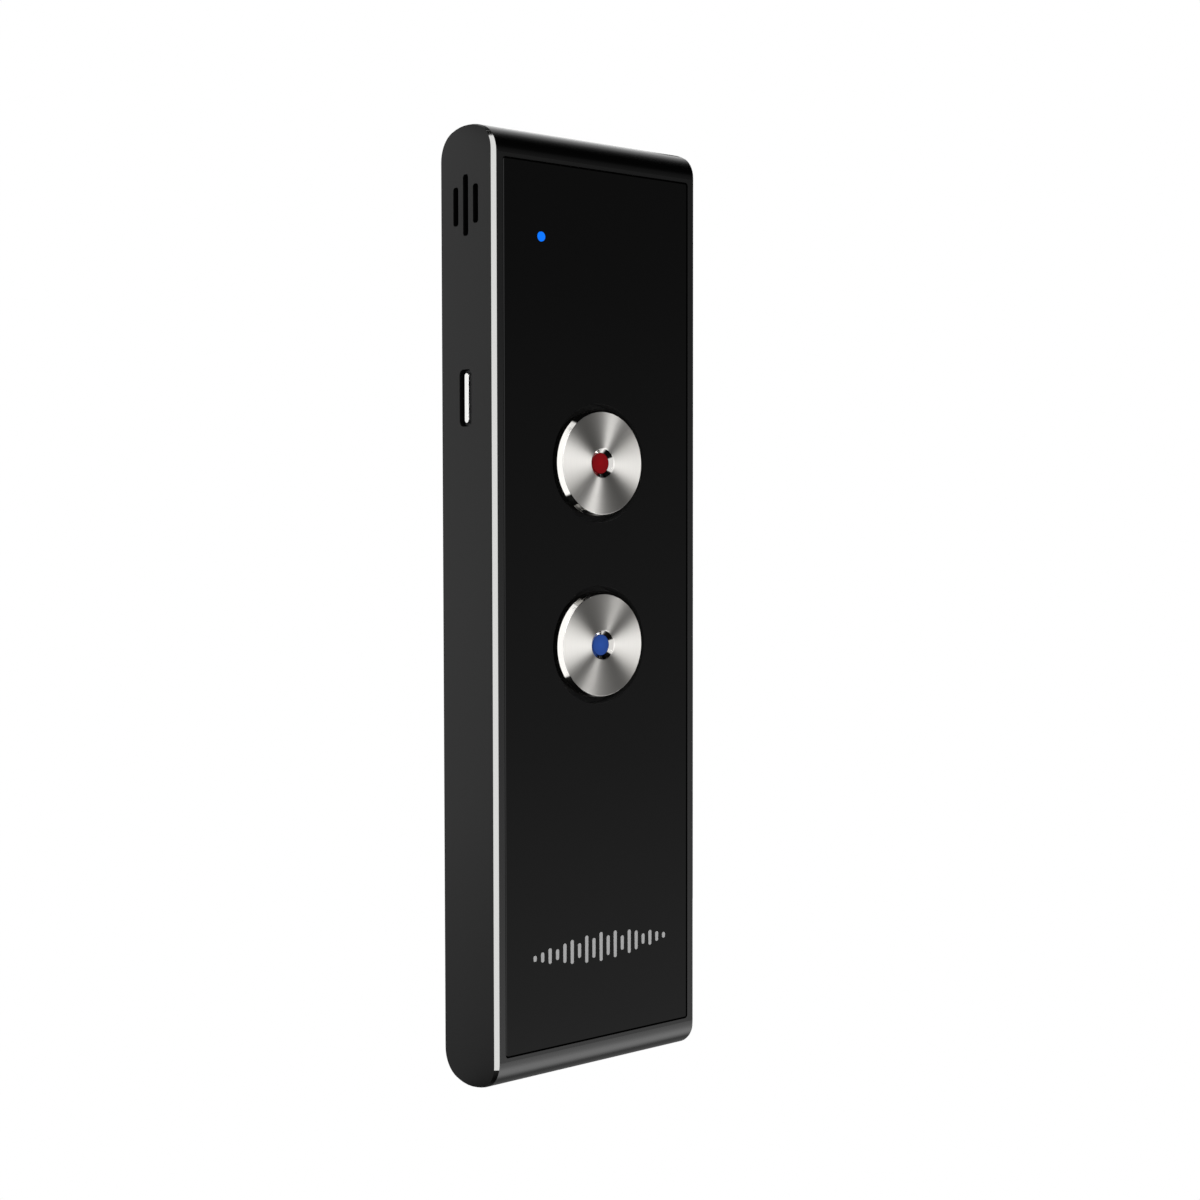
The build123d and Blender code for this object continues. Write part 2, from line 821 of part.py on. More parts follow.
def speaker_sheet(name, front, thickness, margin, opening):
    """A rounded sheet across the outlets, with a rounded opening unless that is zero."""
    with BuildPart() as sheet:
        with BuildSketch(Plane.YZ.offset(front)):
            with Locations((speaker_y, speaker_z)):
                RectangleRounded(
                    speaker_size[1] - 2 * margin,
                    speaker_size[2] - 2 * margin,
                    basket_wall,
                )
                if opening:
                    RectangleRounded(
                        speaker_size[1] - 2 * (margin + opening),
                        speaker_size[2] - 2 * (margin + opening),
                        basket_wall,
                        mode=Mode.SUBTRACT,
                    )
        extrude(amount=thickness)
    save(name, sheet.part)


speaker_sheet("speaker_mesh", -cavity_half_width, mesh_thickness, speaker_margin, 0)
speaker_sheet(
    "speaker_gasket",
    -cavity_half_width + mesh_thickness,
    gasket_thickness,
    speaker_margin,
    gasket_width,
)
speaker_sheet(
    "speaker_cone",
    speaker_front + cone_sunk,
    cone_thickness,
    basket_wall + cone_gap,
    0,
)

with BuildPart() as speaker_basket:
    with BuildSketch(Plane.YZ.offset(speaker_front)):
        with Locations((speaker_y, speaker_z)):
            Rectangle(speaker_size[1], speaker_size[2])
    extrude(amount=speaker_size[0])
    with BuildSketch(Plane.YZ.offset(speaker_front)):
        with Locations((speaker_y, speaker_z)):
            RectangleRounded(
                speaker_size[1] - 2 * basket_wall,
                speaker_size[2] - 2 * basket_wall,
                basket_wall,
            )
    extrude(amount=basket_depth, mode=Mode.SUBTRACT)
    with BuildSketch(Plane.YZ.offset(speaker_back)):
        with Locations((speaker_y, speaker_z)):
            Circle(magnet_radius)
    extrude(amount=-speaker_size[0], mode=Mode.SUBTRACT)
save("speaker_basket", speaker_basket.part)

with BuildPart() as speaker_magnet:
    with BuildSketch(Plane.YZ.offset(speaker_back)):
        with Locations((speaker_y, speaker_z)):
            Circle(magnet_radius)
    extrude(amount=-magnet_thickness)
save("speaker_magnet", speaker_magnet.part)

with BuildPart() as speaker_leads:
    drop = speaker_lead_reach / 2
    for y in (speaker_y - speaker_lead_spacing / 2, speaker_y + speaker_lead_spacing / 2):
        with BuildLine() as route:
            FilletPolyline(
                (speaker_back, y, board_top + drop),
                (speaker_back + speaker_lead_reach, y, board_top + drop),
                (speaker_back + speaker_lead_reach, y, board_top),
                radius=speaker_lead_radius * 1.6,
            )
        with BuildSketch(Plane.YZ.offset(speaker_back)):
            with Locations((y, board_top + drop)):
                Circle(speaker_lead_radius)
        sweep(path=route.wire())
save("speaker_leads", speaker_leads.part)


# ---------- charging socket and microphone ----------

with BuildPart() as usb_shell:
    usb_width, usb_length, usb_height = usb_size
    with BuildSketch(Plane.XZ.offset(-usb_mouth_y)):
        with Locations((0, usb_middle_z)):
            RectangleRounded(usb_width, usb_height, usb_corner - usb_gap)
    extrude(amount=-usb_length)
    with BuildSketch(Plane.XZ.offset(-usb_mouth_y)):
        with Locations((0, usb_middle_z)):
            RectangleRounded(
                usb_width - 2 * usb_wall,
                usb_height - 2 * usb_wall,
                usb_corner - usb_gap - usb_wall / 2,
            )
    extrude(amount=-(usb_length - usb_wall), mode=Mode.SUBTRACT)
save("usb_shell", usb_shell.part)

with BuildPart() as usb_tongue:
    tongue_width, tongue_length, tongue_thickness = usb_tongue_size
    with BuildSketch(Plane.XZ.offset(-(usb_mouth_y + usb_length - usb_wall))):
        with Locations((0, usb_middle_z)):
            Rectangle(tongue_width, tongue_thickness)
    extrude(amount=tongue_length)
save("usb_tongue", usb_tongue.part)

block("microphone", mic_x, board_low_y + mic_size[1] / 2, board_top, mic_size)

with BuildPart() as microphone_boot:
    with BuildSketch(Plane.XZ.offset(-board_low_y)):
        with Locations((mic_x, mic_z)):
            Rectangle(mic_boot_width, mic_size[2] + 2 * mic_boot_margin)
            Circle(mic_hole_radius, mode=Mode.SUBTRACT)
    extrude(amount=cavity_half_length + board_low_y)
save("microphone_boot", microphone_boot.part)
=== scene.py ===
import json
from math import cos, pi, radians, sin

import bmesh
import bpy
from mathutils import Matrix, Vector

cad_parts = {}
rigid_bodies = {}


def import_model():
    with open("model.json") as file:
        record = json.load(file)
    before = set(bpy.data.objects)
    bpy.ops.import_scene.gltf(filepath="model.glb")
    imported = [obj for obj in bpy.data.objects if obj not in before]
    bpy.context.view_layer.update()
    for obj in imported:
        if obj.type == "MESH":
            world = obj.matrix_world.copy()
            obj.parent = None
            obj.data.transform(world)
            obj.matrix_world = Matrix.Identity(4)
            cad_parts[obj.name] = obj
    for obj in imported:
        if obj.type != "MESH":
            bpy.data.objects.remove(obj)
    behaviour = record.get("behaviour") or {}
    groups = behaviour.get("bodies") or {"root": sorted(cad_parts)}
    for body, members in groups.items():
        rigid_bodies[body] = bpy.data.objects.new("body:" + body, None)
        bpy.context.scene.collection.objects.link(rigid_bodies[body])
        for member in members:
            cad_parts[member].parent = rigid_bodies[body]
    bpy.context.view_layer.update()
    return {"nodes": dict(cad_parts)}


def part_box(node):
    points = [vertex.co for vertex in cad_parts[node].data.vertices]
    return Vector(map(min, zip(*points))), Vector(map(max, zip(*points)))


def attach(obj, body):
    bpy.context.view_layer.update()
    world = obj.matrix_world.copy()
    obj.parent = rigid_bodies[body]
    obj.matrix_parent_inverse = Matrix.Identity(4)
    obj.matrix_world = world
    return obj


# the start file's own cube, lamp and camera aren't wanted
for leftOver in list(bpy.data.objects):
    bpy.data.objects.remove(leftOver)

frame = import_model()
nodes = frame["nodes"]
mm = 0.001  # Blender works in metres

caseLow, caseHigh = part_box("case_frame")
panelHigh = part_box("front_panel")[1]
print("frame loaded:", len(nodes), "pieces")


# colours and shader nodes

def paint(hexColour):  # sRGB hex to the linear values that a shader takes
    channels = [int(hexColour[i:i + 2], 16) / 255 for i in (1, 3, 5)]
    linear = [c / 12.92 if c <= 0.04045 else ((c + 0.055) / 1.055) ** 2.4 for c in channels]
    return (*linear, 1)


def addNode(tree, kind, sockets=None, **settings):
    node = tree.nodes.new(kind)
    for setting, value in settings.items():
        setattr(node, setting, value)
    for socket, value in (sockets or {}).items():
        if isinstance(value, bpy.types.NodeSocket):
            tree.links.new(value, node.inputs[socket])
        else:
            node.inputs[socket].default_value = value
    return node.outputs[0]


def startMaterial(name, sockets):
    material = bpy.data.materials.new(name)
    material.use_nodes = True
    tree = material.node_tree
    shader = tree.nodes["Principled BSDF"]
    for socket, value in sockets.items():
        shader.inputs[socket].default_value = value
    return material, tree, shader


def objectPlace(tree, centre=(0, 0, 0), scale=(1, 1, 1)):  # object coordinates, moved and stretched
    place = tree.nodes.new("ShaderNodeTexCoord").outputs["Object"]
    offset = tuple(-c * s for c, s in zip(centre, scale))
    return addNode(tree, "ShaderNodeMapping", {"Vector": place, "Location": offset, "Scale": scale})


def maths(tree, operation, first, second=0.0):
    return addNode(tree, "ShaderNodeMath", {0: first, 1: second}, operation=operation)


def spread(tree, value, low, high):  # a 0 to 1 pattern spread between two numbers
    return addNode(tree, "ShaderNodeMapRange", {"Value": value, "To Min": low, "To Max": high})


def within(tree, value, low, high):  # 1 between the two limits, 0 outside them
    above = maths(tree, "GREATER_THAN", value, low)
    return maths(tree, "MULTIPLY", above, maths(tree, "LESS_THAN", value, high))


def fade(tree, value, low, high):  # 0 at low, 1 at high, smooth between
    return addNode(
        tree,
        "ShaderNodeMapRange",
        {"Value": value, "From Min": low, "From Max": high},
        interpolation_type="SMOOTHSTEP",
    )


def grey(level):
    return (level, level, level, 1)


def shadeOf(hexColour, share):
    return (*(min(1, c * share) for c in paint(hexColour)[:3]), 1)


def blendColours(tree, share, first, second):
    colours = {0: share, 6: first, 7: second}  # the mix node's colour sockets are its 7th and 8th
    return addNode(tree, "ShaderNodeMix", colours, data_type="RGBA").node.outputs[2]


def addRamp(tree, value, stops):  # (position, level) pairs, greys from black to white
    ramp = addNode(tree, "ShaderNodeValToRGB", {"Fac": value}).node
    made = ramp.color_ramp.elements
    made.remove(made[1])
    for number, (position, level) in enumerate(stops):
        stop = made[0] if number == 0 else made.new(position)
        stop.position = position
        stop.color = grey(level)
    return ramp.outputs["Color"]


def blendNumbers(tree, share, first, second):
    return addNode(tree, "ShaderNodeMix", {0: share, 2: first, 3: second}, data_type="FLOAT")


def giveBump(tree, shader, height, depth):  # depth in metres between the pattern's low and high
    bump = addNode(tree, "ShaderNodeBump", {"Height": height, "Distance": depth, "Strength": 1.0})
    tree.links.new(bump, shader.inputs["Normal"])


def grain(tree, size, detail=3, roughness=0.6, place=None):  # noise whose lumps are size metres wide
    return addNode(
        tree,
        "ShaderNodeTexNoise",
        {
            "Vector": place or objectPlace(tree),
            "Scale": 1 / size,
            "Detail": detail,
            "Roughness": roughness,
        },
    )


# finishes

caseFinish = {
    "blasted": "#2A2A2A",    # black dye over fine bead blasting
    "ground": "#606060",     # the same dye over a ground rim, which mirrors more
    "cut": "#E8E8E6",        # bare metal left by the diamond cutter
    "blastSize": 0.16 * mm,  # drawn about twice as coarse as real blasting, so that it shows
    "blastDepth": 0.003 * mm,
    "blastedRoughness": (0.36, 0.46),
    "groundRoughness": 0.2,
    "cutRoughness": 0.14,
    "rimDepth": 0.1 * mm,    # the ground rim reaches this far down from the front
    "rimStart": 0.15 * mm,   # and over both ends, from this far beyond the panel
    "cutWidth": 0.55 * mm,
    "cutSlant": (0.3, 0.97),  # how far sideways the cut faces, from the front's 0 to the side's 1
    "cutStops": (3.7 * mm, 1.6 * mm),  # the bright cut colour stops this far before each end, while the chamfer's shape runs on
}


def blackAnodisedAluminium():  # dyed black, dead even, with a bare cut edge round the front
    material, tree, shader = startMaterial("blackAnodisedAluminium", {"Metallic": 1.0})
    coords = tree.nodes.new("ShaderNodeTexCoord")
    place = addNode(tree, "ShaderNodeSeparateXYZ", {0: coords.outputs["Object"]}).node
    facing = addNode(tree, "ShaderNodeSeparateXYZ", {0: coords.outputs["Normal"]}).node
    across = maths(tree, "ABSOLUTE", place.outputs["X"])
    along = maths(tree, "ABSOLUTE", place.outputs["Y"])
    sideways = maths(tree, "ABSOLUTE", facing.outputs["X"])
    cutFrom = caseHigh.x - caseFinish["cutWidth"]
    lowStop, highStop = caseFinish["cutStops"]
    slanted = within(tree, sideways, *caseFinish["cutSlant"])
    # the cut colour is drawn only between these two stops, short of both ends
    between = within(tree, place.outputs["Y"], caseLow.y + lowStop, caseHigh.y - highStop)
    atSide = maths(tree, "GREATER_THAN", across, cutFrom)
    cutEdge = maths(tree, "MULTIPLY", maths(tree, "MULTIPLY", atSide, between), slanted)
    frontOrEnd = maths(
        tree,
        "MAXIMUM",
        maths(tree, "GREATER_THAN", place.outputs["Z"], caseHigh.z - caseFinish["rimDepth"]),
        maths(tree, "GREATER_THAN", along, panelHigh.y + caseFinish["rimStart"]),
    )
    rim = maths(tree, "MULTIPLY", frontOrEnd, maths(tree, "LESS_THAN", across, cutFrom))
    blast = grain(tree, caseFinish["blastSize"])
    colour = blendColours(tree, rim, paint(caseFinish["blasted"]), paint(caseFinish["ground"]))
    colour = blendColours(tree, cutEdge, colour, paint(caseFinish["cut"]))
    tree.links.new(colour, shader.inputs["Base Color"])
    rough = spread(tree, blast, *caseFinish["blastedRoughness"])
    rough = blendNumbers(tree, rim, rough, caseFinish["groundRoughness"])
    rough = blendNumbers(tree, cutEdge, rough, caseFinish["cutRoughness"])
    tree.links.new(rough, shader.inputs["Roughness"])
    smooth = maths(tree, "MAXIMUM", rim, cutEdge)
    relief = maths(tree, "MULTIPLY", blast, maths(tree, "SUBTRACT", 1.0, smooth))
    giveBump(tree, shader, relief, caseFinish["blastDepth"])
    return material


panelFinish = {
    "hazeSize": 14 * mm,
    "haze": (0.02, 0.045),
    "sawnRoughness": 0.95,  # the cut edges are left matt
    "sawnBelow": 0.5,       # and are what faces up less than this
    "waveSize": 22 * mm,
    "waveDepth": 0.002 * mm,
}


def glossBlackAcrylic():  # cast sheet, printed black behind: deep gloss with the faintest haze
    material, tree, shader = startMaterial(
        "glossBlackAcrylic",
        {"Base Color": paint("#030303"), "IOR": 1.49, "Roughness": 0.03},
    )
    facing = tree.nodes.new("ShaderNodeTexCoord").outputs["Normal"]
    upward = addNode(tree, "ShaderNodeSeparateXYZ", {0: facing}).node.outputs["Z"]
    haze = spread(tree, grain(tree, panelFinish["hazeSize"], detail=4), *panelFinish["haze"])
    sawn = maths(tree, "LESS_THAN", upward, panelFinish["sawnBelow"])
    rough = blendNumbers(tree, sawn, haze, panelFinish["sawnRoughness"])
    tree.links.new(rough, shader.inputs["Roughness"])
    waves = grain(tree, panelFinish["waveSize"], detail=1)
    giveBump(tree, shader, waves, panelFinish["waveDepth"])
    return material


keyFinish = {
    "ringSpacing": 0.15 * mm,  # drawn twice as coarse as the turning marks, so that they show
    "ringDepth": 0.0005 * mm,
    # dark is the face's colour between the painted highlight fans; light is the painted fans' colour,
    # which the key's sides also take
    "dark": "#B2B0AC",
    "light": "#E6E4E0",
    # how far the rings vary the painted highlight fans
    "paintedSheen": (0.85, 1.1),      # how much the rings vary the fans
    "faceRoughness": (0.38, 0.46),
    "sideRoughness": 0.07,
    "faceAbove": 0.9,          # the face is what faces up more than this
    "lensRadius": 1.7 * mm,
}
# painted highlight fans: lighter sectors drawn into each turned face's colour in place of reflections,
# which help out the real ones that its rings give:
# (degrees round from +X, how narrow, how light)
redKeyPaintedFans = ((-2, 7, 1.0), (71, 10, 0.8))
blueKeyPaintedFans = ((4, 8, 1.0), (69, 9, 0.45))


def fromCentre(tree, centre):  # distance from a key's axis
    flat = objectPlace(tree, centre, (1, 1, 0))
    length = addNode(tree, "ShaderNodeVectorMath", {0: flat}, operation="LENGTH")
    return length.node.outputs["Value"]


def spunSteel(name, centre, paintedFanList):  # stainless steel faced on a lathe: fine rings that fan the light
    material, tree, shader = startMaterial(
        name, {"Metallic": 1.0, "Anisotropic": 0.95, "Anisotropic Rotation": 0.25}
    )
    rings = addNode(
        tree,
        "ShaderNodeTexNoise",
        {"W": fromCentre(tree, centre), "Scale": 1 / keyFinish["ringSpacing"], "Detail": 5},
        noise_dimensions="1D",
    )
    outward = addNode(
        tree,
        "ShaderNodeVectorMath",
        {0: objectPlace(tree, centre, (1, 1, 0))},
        operation="NORMALIZE",
    )
    # painted highlight: fans of lighter colour by angle round the key's own axis, standing in for
    # reflections
    paintedFans = 0.0
    for degrees, narrow, light in paintedFanList:
        middle = (cos(radians(degrees)), sin(radians(degrees)), 0)
        share = addNode(tree, "ShaderNodeVectorMath", {0: outward, 1: middle}, operation="DOT_PRODUCT")
        near = maths(tree, "ABSOLUTE", share.node.outputs["Value"])
        paintedFan = maths(tree, "MULTIPLY", maths(tree, "POWER", near, narrow), light)
        paintedFans = maths(tree, "MAXIMUM", paintedFans, paintedFan)
    coords = tree.nodes.new("ShaderNodeTexCoord").outputs["Normal"]
    upward = addNode(tree, "ShaderNodeSeparateXYZ", {0: coords}).node.outputs["Z"]
    face = maths(tree, "GREATER_THAN", upward, keyFinish["faceAbove"])
    turnedRough = spread(tree, rings, *keyFinish["faceRoughness"])
    rough = blendNumbers(tree, face, keyFinish["sideRoughness"], turnedRough)
    tree.links.new(rough, shader.inputs["Roughness"])
    tangent = addNode(tree, "ShaderNodeTangent", direction_type="RADIAL", axis="Z")
    tree.links.new(tangent, shader.inputs["Tangent"])
    # painted highlight: the fans, varied by the rings, blend the face's colour from dark to light
    paintedSheen = maths(tree, "MULTIPLY", spread(tree, rings, *keyFinish["paintedSheen"]), paintedFans)
    turned = blendColours(tree, paintedSheen, paint(keyFinish["dark"]), paint(keyFinish["light"]))
    colour = blendColours(tree, face, paint(keyFinish["light"]), turned)
    tree.links.new(colour, shader.inputs["Base Color"])
    giveBump(tree, shader, maths(tree, "MULTIPLY", rings, face), keyFinish["ringDepth"])
    return material


def dyedLens(name, hexColour, centre):  # cast acrylic dyed through: gloss skin, colour from inside
    material, tree, shader = startMaterial(name, {"IOR": 1.49, "Roughness": 0.08})
    outward = addNode(
        tree,
        "ShaderNodeMapRange",
        {"Value": fromCentre(tree, centre), "From Max": keyFinish["lensRadius"]},
    )
    colour = blendColours(tree, outward, paint(hexColour), shadeOf(hexColour, 0.7))
    tree.links.new(colour, shader.inputs["Base Color"])
    giveBump(tree, shader, grain(tree, 0.5 * mm), 0.002 * mm)
    return material


metalLines = {"stretch": 0.08, "depth": 0.0004 * mm}


def brightMetal(name, hexColour, roughness, lineSize):  # rolled or buffed, with faint lines along Y
    material, tree, shader = startMaterial(name, {"Base Color": paint(hexColour), "Metallic": 1.0})
    lines = grain(tree, lineSize, place=objectPlace(tree, scale=(1, metalLines["stretch"], 1)))
    tree.links.new(spread(tree, lines, roughness * 0.8, roughness * 1.3), shader.inputs["Roughness"])
    giveBump(tree, shader, lines, metalLines["depth"])
    return material


def mouldedPlastic(name, hexColour, roughness, grainSize, grainDepth):  # spark-eroded mould texture
    material, tree, shader = startMaterial(name, {"Base Color": paint(hexColour), "IOR": 1.53})
    texture = grain(tree, grainSize)
    colour = blendColours(tree, texture, paint(hexColour), shadeOf(hexColour, 1.25))
    tree.links.new(colour, shader.inputs["Base Color"])
    tree.links.new(spread(tree, texture, roughness * 0.85, roughness * 1.2), shader.inputs["Roughness"])
    giveBump(tree, shader, texture, grainDepth)
    return material


def wovenCloth(name, hexColour, threadSpacing):  # plain weave, threads along Y and Z
    material, tree, shader = startMaterial(name, {"Roughness": 0.85, "IOR": 1.5})
    waves = []
    for direction in ("Y", "Z"):
        waves.append(addNode(
            tree,
            "ShaderNodeTexWave",
            {"Vector": objectPlace(tree), "Scale": pi / (10 * threadSpacing)},
            bands_direction=direction,
        ))
    weave = maths(tree, "MAXIMUM", *waves)
    colour = blendColours(tree, weave, shadeOf(hexColour, 0.3), paint(hexColour))
    tree.links.new(colour, shader.inputs["Base Color"])
    giveBump(tree, shader, weave, 0.05 * mm)
    return material


def litLightGuide():  # clear polycarbonate rod with the blue light behind it
    material, tree, shader = startMaterial(
        "litLightGuide",
        {"Base Color": paint("#021830"), "IOR": 1.58, "Roughness": 0.2, "Emission Strength": 1.0},
    )
    glow = blendColours(tree, grain(tree, 0.6 * mm), paint("#006EFF"), paint("#007CFF"))
    tree.links.new(glow, shader.inputs["Emission Color"])
    return material


def glassLaminate():  # solder mask over copper: green with faint raised tracks
    material, tree, shader = startMaterial("glassLaminate", {"Roughness": 0.38, "IOR": 1.5})
    tracks = addNode(
        tree,
        "ShaderNodeTexBrick",
        {"Vector": objectPlace(tree), "Scale": 1 / (2.4 * mm), "Mortar Size": 0.06},
    ).node.outputs["Fac"]
    tree.links.new(
        blendColours(tree, tracks, paint("#0B3A24"), paint("#17603C")),
        shader.inputs["Base Color"],
    )
    giveBump(tree, shader, tracks, 0.03 * mm)
    return material


def openCellFoam(name, hexColour, cellSize):
    material, tree, shader = startMaterial(name, {"Roughness": 0.95, "IOR": 1.45})
    cells = addNode(tree, "ShaderNodeTexVoronoi", {"Vector": objectPlace(tree), "Scale": 1 / cellSize})
    colour = blendColours(tree, cells, shadeOf(hexColour, 0.4), paint(hexColour))
    tree.links.new(colour, shader.inputs["Base Color"])
    giveBump(tree, shader, cells, 0.2 * mm)
    return material


def keyCentre(cap):
    low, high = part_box(cap)
    return (0, (low.y + high.y) / 2, 0)


redCentre = keyCentre("red_key_cap")
blueCentre = keyCentre("blue_key_cap")

blackPlastic = mouldedPlastic("glassFilledNylonBlack", "#141416", 0.5, 0.25 * mm, 0.006 * mm)
mattPlastic = mouldedPlastic("textureMouldedNylonBlack", "#060606", 0.85, 0.25 * mm, 0.01 * mm)
finishes = {
    "case_frame": blackAnodisedAluminium(),
    "rear_cover": mouldedPlastic("satinPolycarbonateBlack", "#121213", 0.42, 0.3 * mm, 0.008 * mm),
    "front_panel": glossBlackAcrylic(),
    "mid_deck": mattPlastic,
    "red_key_carrier": mattPlastic,
    "blue_key_carrier": mattPlastic,
    "panel_adhesive": mouldedPlastic("acrylicFoamTapeBlack", "#0C0C0C", 0.8, 0.5 * mm, 0.02 * mm),
    # each key face carries painted highlight fans in its colour
    "red_key_cap": spunSteel("spunSteelRedKey", redCentre, redKeyPaintedFans),
    "blue_key_cap": spunSteel("spunSteelBlueKey", blueCentre, blueKeyPaintedFans),
    "red_key_insert": dyedLens("dyedAcrylicRed", "#88000A", redCentre),
    "blue_key_insert": dyedLens("dyedAcrylicBlue", "#2850A4", blueCentre),
    "power_key": brightMetal("polishedZincChrome", "#F2F2F0", 0.1, 0.3 * mm),
    "speaker_mesh": wovenCloth("wovenPolyesterBlack", "#0C0C0D", 0.3 * mm),
    "light_pipe": litLightGuide(),
    "main_board": glassLaminate(),
}
shared = {
    "blackPlastic": (blackPlastic, [
        "power_key_carrier", "red_switch_body", "blue_switch_body", "power_switch_body",
        "battery_socket", "usb_tongue", "speaker_basket",
    ]),
    "naturalNylon": (mouldedPlastic("acetalWhite", "#D8D6CE", 0.4, 0.3 * mm, 0.003 * mm), [
        "red_switch_plunger", "blue_switch_plunger", "power_switch_plunger",
    ]),
    "chipResin": (mouldedPlastic("mouldedEpoxyBlack", "#1A1A1B", 0.6, 0.12 * mm, 0.004 * mm), [
        "processor", "flash_memory", "audio_codec", "charger_chip",
    ]),
    "tinPlate": (brightMetal("tinPlatedSteel", "#B9BAB8", 0.3, 0.4 * mm), ["rf_shield", "usb_shell"]),
    "zincSteel": (brightMetal("blackZincSteel", "#55565A", 0.3, 0.1 * mm),
                  ["deck_screws", "board_screws"]),
    "foil": (brightMetal("laminatedAluminiumFoil", "#A9AAAC", 0.35, 1.2 * mm), ["battery_cell"]),
    "tape": (mouldedPlastic("polyimideTapeAmber", "#8A5A12", 0.35, 0.8 * mm, 0.004 * mm),
             ["battery_tape", "battery_protector"]),
    "foam": (openCellFoam("polyurethaneFoamGrey", "#3A3A3C", 0.35 * mm),
             ["battery_foam", "speaker_gasket"]),
    "leads": (mouldedPlastic("pvcInsulationRed", "#8E1410", 0.45, 0.4 * mm, 0.004 * mm),
              ["battery_leads", "speaker_leads"]),
    "ceramic": (mouldedPlastic("sinteredCeramicTan", "#8C7A62", 0.5, 0.15 * mm, 0.003 * mm),
                ["chip_antenna", "board_components"]),
    "ferrite": (mouldedPlastic("sinteredFerriteGrey", "#3C3D40", 0.6, 0.1 * mm, 0.004 * mm),
                ["power_coil", "speaker_magnet"]),
    "cone": (mouldedPlastic("polyimideConeFilm", "#30302E", 0.3, 0.6 * mm, 0.006 * mm),
             ["speaker_cone"]),
    "resin": (mouldedPlastic("clearResinWhite", "#D9DEE4", 0.2, 0.4 * mm, 0.002 * mm),
              ["status_led"]),
    "rubber": (mouldedPlastic("siliconeRubberBlack", "#17171A", 0.75, 0.2 * mm, 0.005 * mm),
               ["microphone_boot"]),
    "canSteel": (brightMetal("nickelPlatedCan", "#C2BFB4", 0.25, 0.3 * mm), ["microphone"]),
}
for material, members in shared.values():
    for member in members:
        finishes[member] = material

for nodeName, node in nodes.items():
    node.data.materials.clear()
    node.data.materials.append(finishes[nodeName])
print("finishes:", len(set(finishes.values())), "materials on", len(nodes), "pieces")


# a plain row of sound-level bars, printed on the panel's lower half (in mm)

levelBars = {
    "heights": (
        0.9, 1.5, 2.3, 1.6, 2.9, 3.6, 2.2, 4.1, 3.0,
        4.4, 3.0, 4.1, 2.2, 3.6, 2.9, 1.6, 2.3, 1.5, 0.9,
    ),
    "width": 0.62,
    "pitch": 1.4,
    "centre": (0.25, -51.0),
    "thickness": 0.02,
    "sides": 8,      # corners in each bar's round ends
}


def printedMark():
    mesh = bmesh.new()
    first = -(len(levelBars["heights"]) - 1) / 2
    for number, height in enumerate(levelBars["heights"]):
        x = levelBars["centre"][0] + (first + number) * levelBars["pitch"]
        made = bmesh.ops.create_circle(
            mesh, cap_ends=True, segments=2 * levelBars["sides"], radius=levelBars["width"] / 2
        )
        for vert in made["verts"]:  # a circle pulled apart along Y is a bar with round ends
            vert.co.y += (height - levelBars["width"]) / 2 * (1 if vert.co.y >= 0 else -1)
        bmesh.ops.translate(mesh, verts=made["verts"], vec=(x, levelBars["centre"][1], 0))
    flat = bmesh.ops.extrude_face_region(mesh, geom=list(mesh.faces))
    lifted = [v for v in flat["geom"] if isinstance(v, bmesh.types.BMVert)]
    bmesh.ops.translate(mesh, verts=lifted, vec=(0, 0, levelBars["thickness"]))
    bmesh.ops.recalc_face_normals(mesh, faces=mesh.faces)
    bmesh.ops.scale(mesh, verts=mesh.verts, vec=(mm, mm, mm))
    bmesh.ops.translate(mesh, verts=mesh.verts, vec=(0, 0, panelHigh.z))
    return addPiece("printed_level_bars", mesh, screenInk())


def screenInk():  # screen-printed grey ink, matt beside the gloss panel
    material, tree, shader = startMaterial("screenInkGrey", {"IOR": 1.5})
    speckle = grain(tree, 0.25 * mm)
    tree.links.new(
        blendColours(tree, speckle, paint("#A0A0A0"), paint("#AEAEAE")),
        shader.inputs["Base Color"],
    )
    tree.links.new(spread(tree, speckle, 0.5, 0.65), shader.inputs["Roughness"])
    return material


# gold contacts on the charging socket's tongue (in mm)

contacts = {
    "count": 5,
    "pitch": 0.65,
    "width": 0.34,
    "reach": 2.9,
    "thickness": 0.05,
    "fromTip": 0.15,
}


def goldContacts():
    low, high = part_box("usb_tongue")
    mesh = bmesh.new()
    for number in range(contacts["count"]):
        pad = bmesh.ops.create_cube(mesh, size=1)["verts"]
        shape = (contacts["width"], contacts["reach"], contacts["thickness"])
        bmesh.ops.scale(mesh, verts=pad, vec=shape)
        x = (number - (contacts["count"] - 1) / 2) * contacts["pitch"]
        bmesh.ops.translate(mesh, verts=pad, vec=(x, contacts["fromTip"] + contacts["reach"] / 2, 0))
    bmesh.ops.bevel(
        mesh, geom=mesh.edges[:], offset=contacts["thickness"] / 4, segments=2,
        affect="EDGES", profile=0.5, material=-1,
    )
    bmesh.ops.scale(mesh, verts=mesh.verts, vec=(mm, mm, mm))
    bmesh.ops.translate(mesh, verts=mesh.verts, vec=(0, low.y, high.z))
    return addPiece("usb_contacts", mesh, brightMetal("hardGoldPlate", "#DDB35A", 0.22, 0.2 * mm))


def addPiece(name, mesh, material, body="case"):
    data = bpy.data.meshes.new(name)
    mesh.to_mesh(data)
    mesh.free()
    data.materials.append(material)
    piece = bpy.data.objects.new(name, data)
    bpy.context.scene.collection.objects.link(piece)
    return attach(piece, body)


for piece in (printedMark(), goldContacts()):
    print("added", piece.name, "with", len(piece.data.polygons), "faces")


# studio: a white wall to the left, a dim one to the right, soft boxes and a white table

